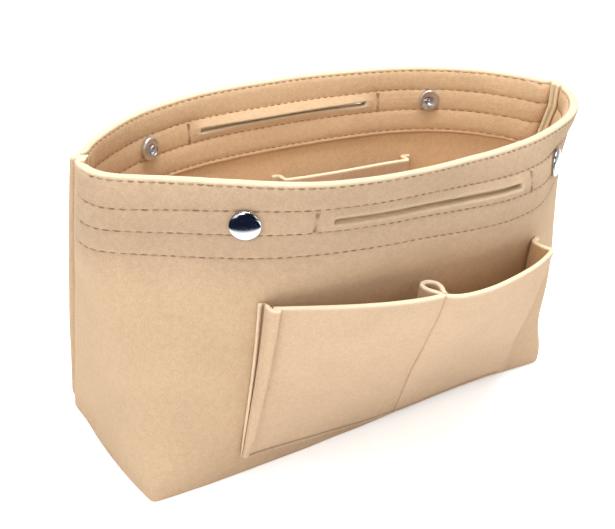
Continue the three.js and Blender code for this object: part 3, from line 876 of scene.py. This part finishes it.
def fullness(s, lean):
    q = ((s + 0.03) ** lean - 0.03**lean) / (1.03**lean - 0.03**lean)
    return 4 * q * (1 - q)


def standOff(spec, x, v):
    x0, x1 = lerp(*spec["from"], v), lerp(*spec["to"], v)
    s = np.clip((x - x0) / (x1 - x0), 0, 1)
    return v * (lerp(*spec["depths"], s) + spec["swell"] * fullness(s, spec["lean"]))


# Middle of a sheet sewn flat to the wall, at x and a share v up the pocket
def seatAt(spec, x, v, extra=0.0):
    x = np.asarray(x, float)
    z = lerp(spec["foot"](x), spec["top"], v)
    return np.stack([x, spec["carrier"](x, z, seated + extra), z], -1)


# and of the face, which stands off it
def faceAt(spec, x, v, extra=0.0):
    place = seatAt(spec, x, v, extra)
    place[..., 1] -= standOff(spec, place[..., 0], v)
    return place


def pocketRows():
    foot = [0, 0.15, 0.45, 0.9, 1.6, 2.1, 2.6, 3.3]
    top = [pocketRise - v for v in (3.4, 2.2, 1.3, 0.75, 0.4, 0.15, 0)]
    return np.r_[foot, np.linspace(5.5, pocketRise - 6, 26), top] / pocketRise


def curve(a, b, c, count):
    q = np.linspace(0, 1, count)[:, None]
    return (1 - q) ** 2 * a + 2 * q * (1 - q) * b + q**2 * c


def foldReach(spec, v, which):
    widest, share = spec.get("foldReach", 3.4), spec.get("foldShare", 0.7)
    return max(0.3, min(widest, share * spec["depths"][which] * v))


def pocketMiddle(spec):
    fine = np.array([0, 0.003, 0.009, 0.018])
    share = np.r_[fine, np.linspace(0.035, 0.965, 38), 1 - fine[::-1]]
    rows = []
    for v in pocketRows():
        ends = [lerp(*spec["from"], v), lerp(*spec["to"], v)]
        bends = [np.zeros((0, 3))] * 2
        for k, sign in ((0, 1), (1, -1)):
            if spec["folds"][k]:
                reach = foldReach(spec, v, k)
                corner = faceAt(spec, ends[k], v)
                corner[0] = ends[k] - sign * seated
                inner = faceAt(spec, corner[0] + sign * reach, v)
                bends[k] = curve(corner + [0, reach, 0], corner, inner, 8)[:-1][::sign]
                ends[k] = inner[0]
        rows.append(np.vstack([bends[0], faceAt(spec, lerp(*ends, share), v), bends[1]]))
    return np.array(rows)


def buildPocketFace(name, spec, node, body):
    middle = pocketMiddle(spec)
    up = pocketRows()[:, None] * pocketRise
    along = np.array([arcLengths(row) for row in middle])
    free = roundOff(pocketRise - up, 1.1) * roundOff(up + 0.05, 0.5)
    for distance, folded in zip((along, along[:, -1:] - along), spec["folds"]):
        if not folded:
            free = free * roundOff(distance, 0.9)
    half = 0.5 * pocketSheet * (0.25 + 0.75 * free)
    crease = bell(up - 2.2, 0.7)  # along the bottom seam
    cut = np.maximum(bell(pocketRise - up, 1.0), 0.6 * bell(up, 0.5))
    behind = half - 0.4 * easeStep((14 - up) / 10)  # clear of the wall when the pocket swings
    outer = half - 1.5 * crease
    # painted shade: the crease along the bottom seam is darkened through the crease tint
    piece, _, _ = feltSheet(name, middle, outer, behind, cut, pocketFelt, greyingAndCreaseShade=crease)
    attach(piece, body)
    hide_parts(node)


# the strip at a pocket's side: widths of its parts; below thinUpTo it is thinner
gusset = {"flange": 3.4, "plainFlange": 5, "bend": 1.7, "lapBend": 2.2, "over": 0.45, "thinUpTo": 26}


# A side of a pocket: sewn to the wall with a flange, bent out to the face, and at the
# left lapped over the edge of the face by a lip of this length at the foot and the top
def buildGusset(name, spec, which, node, body, reachOut, lip=None):
    side = (-1, 1)[which]
    edges = spec[("from", "to")[which]]
    rows = []
    ups = pocketRows() if not lip else lerp(2.0 / pocketRise, 1.0, pocketRows())
    for v in ups:
        edge = lerp(*edges, v)
        webX = edge + side * seated
        # the flange tapers towards the foot, and a side without a lip is tucked in behind its fold
        taper = 0.2 + 0.8 * v**0.7 if lip else 1.0
        tuck = 0.0 if lip else side * spec.get("tuck", 0.0) * v
        far = webX + side * (gusset["flange"] * taper if lip else gusset["plainFlange"])
        turn = webX - tuck + side * gusset["bend"] * taper
        seat = seatAt(spec, webX - tuck, v)
        thinner = 1.1 * float(1 - easeStep(v * pocketRise / gusset["thinUpTo"]))
        over = pocketSheet + gusset["over"] - thinner if lip else 0.0
        corner = faceAt(spec, webX if lip else edge, v, over)
        corner[0] = webX
        room = (seat[1] - corner[1]) / 2 - 0.04 if lip else math.inf
        flange = seatAt(spec, far - side * np.array([0, 0.25, 0.6, 1.0, 1.4]) * taper, v)
        capReach = min(gusset["lapBend"], room) if lip else foldReach(spec, v, which)
        bendEnd = seat - [0, min(gusset["bend"], room), 0]
        stop = corner + [0, capReach, 0]
        if not lip and stop[1] > bendEnd[1] - 0.05:
            bendEnd = stop + [0, 0.05, 0]
        bend = curve(seatAt(spec, turn, v), seat, bendEnd, 7)
        share = np.linspace(0, 1, 8)[1:, None]
        web = lerp(bendEnd, stop, share) - [tuck, 0, 0] * np.sin(math.pi * share) * 0.5
        path = [flange, bend, web]
        if lip:
            lapX = webX - side * min(gusset["lapBend"], capReach + 0.4)
            lap = lerp(lapX, edge - side * lerp(*lip, v), np.array([0.2, 0.45, 0.65, 0.82, 0.93, 1]))
            path.append(curve(stop, corner, faceAt(spec, lapX, v, over), 8)[1:])
            path.append(faceAt(spec, lap, v, over))
        rows.append(np.vstack(path))
    middle = np.array(rows)
    up, down = (ups - ups[0])[:, None] * pocketRise, pocketRise * (1 - ups[:, None])
    free = roundOff(down, 1.1) * roundOff(up + 0.001, 1.0)
    columns = np.arange(middle.shape[1])
    sides = roundOff(np.array([0, 0.25, 0.7, 1.3])[np.minimum(columns, 3)], 1.0)
    cut = np.maximum(bell(down, 1.0), 0.8 * (columns < 2)[None, :])
    crease, thin = 0 * up, 1.0
    if lip:
        sides = np.minimum(sides, np.array([0, 0.5, 0.9, 1.0])[np.minimum(columns[::-1], 3)])
        thin = 0.55 + 0.45 * easeStep(up / gusset["thinUpTo"])
        cut = np.maximum(cut, 0.7 * (columns[::-1] < 2)[None, :])
        crease = bell(columns - 7.0, 2.2)[None, :]  # where the flange turns out of the wall
    half = 0.5 * pocketSheet * (0.3 + 0.7 * free) * (0.35 + 0.65 * sides)[None, :] * thin
    outer = np.maximum(half - 1.3 * crease, 0.04 - half)
    # painted shade: the crease where the flange turns out of the wall is darkened
    greyingAndCreaseShade = 0.8 * crease
    piece, _, _ = feltSheet(name, middle, outer, half, cut, pocketFelt, -side, greyingAndCreaseShade=greyingAndCreaseShade)
    wall = Vector(seatAt(spec, lerp(*edges, 0.6), 0.6)) * mm
    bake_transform(piece)
    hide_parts(node)


for name, spec in (("left", leftPocket), ("right", rightPocket)):
    buildPocketFace(f"{name}_pocket_felt", spec, f"{name}_pocket_face", "outer_pockets")
buildPocketFace("inner_pocket_felt", innerPocket, "inner_pocket_face", "inner_pocket")
for name, spec, which, body, *reach in (
    ("left_pocket", leftPocket, 0, "outer_pockets", (0, -4, -1.1), (1.2, 1.8)),
    ("right_pocket", rightPocket, 1, "outer_pockets", (0, -7, -1.9)),
    ("inner_pocket_left", innerPocket, 0, "inner_pocket", (0, -5, 0)),
    ("inner_pocket_right", innerPocket, 1, "inner_pocket", (0, -5, 0)),
):
    buildGusset(name + "_side", spec, which, name + "_gusset", body, *reach)

# Pen loop: a teardrop of felt pinched into the seam between the two pockets
penLoop = {"foot": 72.0, "top": outerTop, "width": 11.3, "depth": 20.5, "clear": 5.0}


def buildPenLoop():
    rise = penLoop["top"] - penLoop["foot"]
    top = [rise - v for v in (2.2, 1.3, 0.75, 0.4, 0.15, 0)]
    ups = np.r_[0, 0.15, 0.5, 1.2, np.linspace(3.5, rise - 4, 11), top]
    radius = (penLoop["width"] - pocketSheet) / 2
    pinch = pocketSheet / 2 + 0.06
    rows = []
    for z in penLoop["foot"] + ups:
        x = lerp(*pocketSeam, (z - footSeam["height"]) / (outerTop - footSeam["height"]))
        foot = outerFoot(x)
        v = (z - foot) / (penLoop["top"] - foot)
        centre = outerSurface(x, z, seated) - penLoop["clear"] * v - radius
        front = outerSurface(x, z) - layerGap - penLoop["depth"] * v + 0.05
        stations = ((-pinch, 0), (-pinch, 0.35), (-radius, 0.5), (-radius, 1))
        side = cubic(*[np.array([w, lerp(front, centre, s)]) for w, s in stations], 13)
        turn = np.linspace(0, math.pi / 2, 10)[1:]
        arc = np.column_stack([-radius * np.cos(turn), centre + radius * np.sin(turn)])
        path = wholePath(np.vstack([side, arc])) + [x, 0]
        rows.append(np.column_stack([path, np.full(len(path), z)]))
    up = ups[:, None]
    half = 0.5 * pocketSheet * (0.3 + 0.7 * roundOff(rise - up, 1.1) * roundOff(up + 0.001, 1.0))
    cut = bell(rise - up, 1.0)
    piece, _, _ = feltSheet("pen_loop_felt", np.array(rows), half, half, cut, pocketFelt, -1)
    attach(piece, "outer_pockets")
    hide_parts("pen_loop")


buildPenLoop()
print("pockets and pen loop made")


# Threads: rings of points round a line, joined to a tube that is closed at both ends
threadSides = 6


def ringPoints(centre, side, up, radius):
    turn = np.linspace(0, 2 * math.pi, threadSides, endpoint=False)[None, :, None]
    around = np.cos(turn) * side[:, None] + np.sin(turn) * up[:, None]
    return (centre[:, None] + radius * around).reshape(-1, 3)


def tubeFaces(stations, start):
    faces = []
    for a in range(start, start + (stations - 1) * threadSides, threadSides):
        for b in range(threadSides):
            c = (b + 1) % threadSides
            faces.append([a + threadSides + b, a + threadSides + c, a + c, a + b])
    first = list(range(start, start + threadSides))
    return faces + [first, [i + (stations - 1) * threadSides for i in first][::-1]]


# Stitches: short arches of thread whose ends dive into the felt
stitch = {"pitch": 4.5, "dash": 3.5, "thread": 0.8, "lift": 0.16, "sink": 0.35, "stations": 6}


def buildStitches(name, paths, material):
    points, faces, start = [], [], 0
    s = np.linspace(0, 1, stitch["stations"])
    arch = np.sin(math.pi * s) ** 0.6
    rise = stitch["lift"] * arch - stitch["sink"] * (1 - arch)
    radius = stitch["thread"] / 2 * (0.75 + 0.25 * arch)
    for path, normal in paths:
        length = arcLengths(path)
        count = int(length[-1] // stitch["pitch"])
        for i in range(count):
            dash = stitch["dash"] * (1 + 0.12 * math.sin(i * 12.9898 + start * 0.37))
            at = length[-1] / count * (i + 0.5) + dash * (s - 0.5)
            centre = np.stack([np.interp(at, length, path[:, k]) for k in range(3)], -1)
            up = unit(np.stack([np.interp(at, length, normal[:, k]) for k in range(3)], -1))
            side = unit(np.cross(unit(np.gradient(centre, axis=0)), up))
            centre = centre + up * rise[:, None]
            points.append(ringPoints(centre, side, up, radius[:, None, None]))
            faces += tubeFaces(len(s), start)
            start += len(s) * threadSides
    piece = makePiece(name, settle(np.vstack(points)), faces, material)
    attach(piece, "organizer")


# The stitch rows of a wall, from first mm past its widest place at the left to last mm
# before the one at the right
def bandRows(wall, first, last):
    lines, top, normal = wall
    below = np.array(lines[::-1])
    paths = []
    for r in band["rows"]:
        level = int(np.argmin(np.abs(below - r)))
        path, up = top[level], normal[level]
        x = np.abs(path[:, 0])
        length = arcLengths(path)
        widest = length[int(np.argmax(x[: int(np.argmin(x)) + 1]))]
        keep = (length >= widest + first) & (length <= length[-1] - widest - last)
        paths.append((path[keep], up[keep]))
    return paths


buildStitches("front_stitches_outside", bandRows(frontWall, 15, 8), brownThread)
buildStitches("rear_stitches_outside", bandRows(rearWall, 8, 8), brownThread)
buildStitches("front_stitches_inside", bandRows(frontFacing, 4, 4), tanThread)
buildStitches("rear_stitches_inside", bandRows(rearFacing, 4, 4), tanThread)

# Bar tack: close zigzag that stops the end of a slit from tearing
barTack = {"x": 64.0, "below": 20.0, "height": 10.5, "width": 1.7, "turns": 13, "thread": 0.6, "proud": 0.15}
bothLayers = 2 * felt + layerGap


def wallPlace(wallY, x, z, out, step=5.0):
    slopeX = (wallY(x + step, z) - wallY(x - step, z)) / (2 * step)
    slopeZ = (wallY(x, z + step) - wallY(x, z - step)) / (2 * step)
    return np.array([x, wallY(x, z), z]), unit(np.array([-slopeX, 1, -slopeZ])) * out


# The zigzags at both ends of a slit, outside and inside the bag
def buildTacks(end, wallY, out):
    points, faces = [], []
    zigzag = np.linspace(-0.5, 0.5, barTack["turns"] * 2 + 1)
    for x in (-barTack["x"], barTack["x"]):
        for depth, way in ((-barTack["proud"], 1), (bothLayers + barTack["proud"], -1)):
            centre, normals = [], []
            for i, s in enumerate(zigzag):
                turnX = x + barTack["width"] / 2 * (1 if i % 2 else -1)
                z = height - barTack["below"] + barTack["height"] * s
                place, normal = wallPlace(wallY, turnX, z, out)
                centre.append(place - normal * depth)
                normals.append(normal * way)
            centre = np.array(centre)
            along = unit(np.gradient(centre, axis=0))
            side = unit(np.cross(along, np.array(normals)))
            faces += tubeFaces(len(centre), sum(map(len, points)))
            points.append(ringPoints(centre, side, np.cross(side, along), barTack["thread"] / 2))
    piece = makePiece(end + "_bar_tacks", settle(np.vstack(points)), faces, tanThread)
    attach(piece, "organizer")


buildTacks("front", frontWallY, -1)
buildTacks("rear", rearWallY, 1)
print("stitch rows and bar tacks made")

# press studs, turned from the same profiles as the part, with finer rounds
snaps = {"span": 187.5, "below": 20.3, "seat": 0.55, "cap": 15.0, "crown": 3.0, "capEdge": 0.9, "post": 1.7}


# Place and direction of a stud on the wall as it has settled
def settledPlace(wallY, x, z, out, step=4.0):
    steps = ((0, 0), (-step, 0), (step, 0), (0, -step), (0, step))
    near = settle(np.array([(x + a, wallY(x + a, z + b), z + b) for a, b in steps]))
    place, left, right, low, high = near
    return place, unit(np.cross(right - left, high - low)) * -out


def turnedPiece(name, profile, wallY, x, out, material, node, segments=56):
    place, normal = settledPlace(wallY, x, height - snaps["below"], out)
    turn = Vector((0, 0, 1)).rotation_difference(Vector(normal)).to_matrix()
    angle = np.linspace(0, 2 * math.pi, segments, endpoint=False)
    points, index, faces = [], [], []
    for r, h in profile:
        around = angle if r > 0 else angle[:1]
        index.append([len(points) + i % len(around) for i in range(segments)])
        points += [(r * math.cos(a), r * math.sin(a), h) for a in around]
    closed = len(profile) if profile[0][0] > 0 else len(profile) - 1
    for i in range(closed):
        low, high = index[i], index[(i + 1) % len(profile)]
        for j in range(segments):
            k = (j + 1) % segments
            face = list(dict.fromkeys([low[j], low[k], high[k], high[j]]))
            if len(face) > 2:
                faces.append(face)
    piece = makePiece(name, np.array(points) @ np.array(turn).T + place, faces, material)
    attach(piece, "organizer")
    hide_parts(node)


# A profile measured from the face inside the bag
def fromInside(profile):
    face = -(bothLayers + snaps["seat"])
    return [(r, face - d) for r, d in profile]


def domeProfile():
    half, seat, post = snaps["cap"] / 2, snaps["seat"], snaps["post"]
    edge, crown = seat + snaps["capEdge"], seat + snaps["crown"]
    ends = ((half, edge), (half, edge + 0.9), (half / 1.6, crown), (0, crown))
    dome = cubic(*map(np.array, ends), 17)
    rim = [(half - 0.7, seat), (half - 0.3, seat + 0.04), (half - 0.08, seat + 0.2), (half, seat + 0.5)]
    return [(post, seat)] + rim + [tuple(p) for p in dome]


capProfile = fromInside([(0, 0), (1.1, 0), (1.1, 0.78), (1.2, 0.8), (snaps["post"], 0.75)]) + domeProfile()
studProfile = fromInside(
    [(1.85, 0), (5.3, 0), (5.5, 0.1), (5.5, 0.4), (5.4, 0.6), (5.0, 0.9), (4.4, 1.08), (3.6, 1.2)]
    + [(2.8, 1.35), (2.4, 1.6), (2.3, 1.9), (2.35, 2.3), (2.5, 2.55), (2.6, 2.8), (2.6, 3.1)]
    + [(2.52, 3.35), (2.35, 3.52), (2.1, 3.6), (1.85, 3.58)]
)
socketProfile = fromInside(
    [(1.85, 0), (5.9, 0), (6.2, 0.15), (6.3, 0.5), (6.3, 1.8), (6.2, 2.25), (5.95, 2.55), (5.5, 2.7)]
    + [(4.9, 2.66), (4.2, 2.5), (3.6, 2.3), (3.15, 2.15), (2.9, 2.05), (2.85, 1.9), (2.85, 1.8)]
    + [(3.45, 1.8), (3.45, 0.8), (1.85, 0.8)]
)
front, rear = (frontWallY, -1), (rearWallY, 1)
for side, x in (("left", -snaps["span"] / 2), ("right", snaps["span"] / 2)):
    for end, wall, part, profile, metal in (
        ("front", front, "cap", capProfile, platedNickel),
        ("rear", rear, "cap", capProfile, platedNickel),
        ("front", front, "stud", studProfile, satinNickel),
        ("rear", rear, "socket", socketProfile, satinNickel),
    ):
        name, node = f"{end}_{side}_{part}_metal", f"{end}_{side}_snap_{part}"
        turnedPiece(name, profile, wall[0], x, wall[1], metal, node)
    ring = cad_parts[f"rear_{side}_spring_ring"]
    ring.data.materials.clear()
    ring.data.materials.append(springSteel)
print("press studs made")

# floor, sky and lights; a painted reflection: a dark patch that only reflected rays see shows in the
# polished caps
studio = {
    "floor": "#f4f4f4",
    "floorSize": 6000,
    "floorGlow": 0.42,
    "sky": 0.57,
    "dark": "#1a2238",
    "darkFrom": (-0.6, -0.75, 0.3),  # direction, and how closely a reflection has to look there
    "darkNear": {"From Min": 0.2, "From Max": 0.35},
    "darkFloor": {"From Min": 0.25, "From Max": 0.3},  # distances in metres where it begins
    "darkTo": {"From Min": 0.25, "From Max": 0.12},  # and x in metres where it fades to the right
}


def buildFloor():
    material, tree, place = newMaterial("studioFloorPaint")
    paint = addNode(tree, "BsdfDiffuse", {"Color": linearColor(studio["floor"])})
    rays = addNode(tree, "LightPath")
    shows = (rays, "Is Camera Ray")
    for kind in ("Is Glossy Ray", "Is Transmission Ray"):
        shows = (addNode(tree, "Math", maximum, {0: shows, 1: (rays, kind)}), "Value")
    strength = addNode(tree, "Math", {**multiply, 1: studio["floorGlow"]}, {0: shows})
    glow = addNode(tree, "Emission", {"Color": (1, 1, 1, 1)}, {"Strength": (strength, "Value")})
    both = addNode(tree, "AddShader", {}, {0: (paint, "BSDF"), 1: (glow, "Emission")})
    away = addNode(tree, "VectorMath", {"operation": "LENGTH"}, {0: (place, "Object")})
    parts = addNode(tree, "SeparateXYZ", {}, {"Vector": (place, "Object")})
    # painted reflection: glossy rays see a dark patch on the floor
    shown = (rays, "Is Glossy Ray")
    for reach, value in (("darkFloor", (away, "Value")), ("darkTo", (parts, "X"))):
        part = addNode(tree, "MapRange", studio[reach], {"Value": value})
        shown = (addNode(tree, "Math", multiply, {0: (part, "Result"), 1: shown}), "Value")
    dark = addNode(tree, "Emission", {"Color": linearColor(studio["dark"])})
    mixed = addNode(tree, "MixShader", {}, {0: shown, 1: (both, "Shader"), 2: (dark, "Emission")})
    addNode(tree, "OutputMaterial", {}, {"Surface": (mixed, "Shader")})
    size = studio["floorSize"]
    corners = [(size * a, size * b, 0) for a, b in ((-1, -1), (1, -1), (1, 1), (-1, 1))]
    floor = makePiece("studio_floor", corners, [(0, 1, 2, 3)], material, smooth=False)


def buildSky():
    world = bpy.data.worlds.new("studioWorld")
    bpy.context.scene.world = world
    world.use_nodes = True
    tree = world.node_tree
    tree.nodes.clear()
    rays = addNode(tree, "LightPath")
    kinds = {0: (rays, "Is Camera Ray"), 1: (rays, "Is Transmission Ray")}
    shows = addNode(tree, "Math", maximum, kinds)
    levels = {"To Min": studio["sky"], "To Max": 1.0}
    strength = addNode(tree, "MapRange", levels, {"Value": (shows, "Value")})
    place = addNode(tree, "TexCoord")
    # painted reflection: glossy rays see a dark patch in the sky
    facing = {"operation": "DOT_PRODUCT", 1: studio["darkFrom"]}
    toward = addNode(tree, "VectorMath", facing, {0: (place, "Generated")})
    patch = addNode(tree, "MapRange", studio["darkNear"], {"Value": (toward, "Value")})
    shown = addNode(tree, "Math", multiply, {0: (patch, "Result"), 1: (rays, "Is Glossy Ray")})
    ends = {"data_type": "RGBA", 6: (1, 1, 1, 1), 7: linearColor(studio["dark"])}
    tone = addNode(tree, "Mix", ends, {0: (shown, "Value")})
    sky = addNode(tree, "Background", {}, {"Color": (tone, 2), "Strength": (strength, "Result")})
    addNode(tree, "OutputWorld", {}, {"Surface": (sky, "Background")})


# place and height of the target in metres, size and power
lamps = {
    "keyLamp": ((-1.5, -1.15, 1.4), 0.08, 0.9, 11.5),
    "sideLamp": ((-2.0, -0.55, 0.75), 0.08, 1.1, 5),
    "fillLamp": ((0.8, -1.8, 0.9), 0.08, 0.9, 3),
    "topLamp": ((0.0, -0.1, 2.0), 0.1, 1.1, 44),
    "backLamp": ((0.9, 1.2, 1.7), 0.1, 1.1, 8),
}


def addLamp(name, place, targetZ, size, power):
    data = bpy.data.lights.new(name, "AREA")
    data.shape = "RECTANGLE"
    data.size = data.size_y = size
    data.energy = power
    lamp = bpy.data.objects.new(name, data)
    bpy.context.scene.collection.objects.link(lamp)
    lamp.location = place
    toward = Vector((0, 0, targetZ)) - Vector(place)
    lamp.rotation_euler = toward.to_track_quat("-Z", "Y").to_euler()


buildFloor()
buildSky()
for name, spec in lamps.items():
    addLamp(name, *spec)
print("stage and lamps made")

sceneView = bpy.context.scene.view_settings
sceneView.view_transform = "Standard"
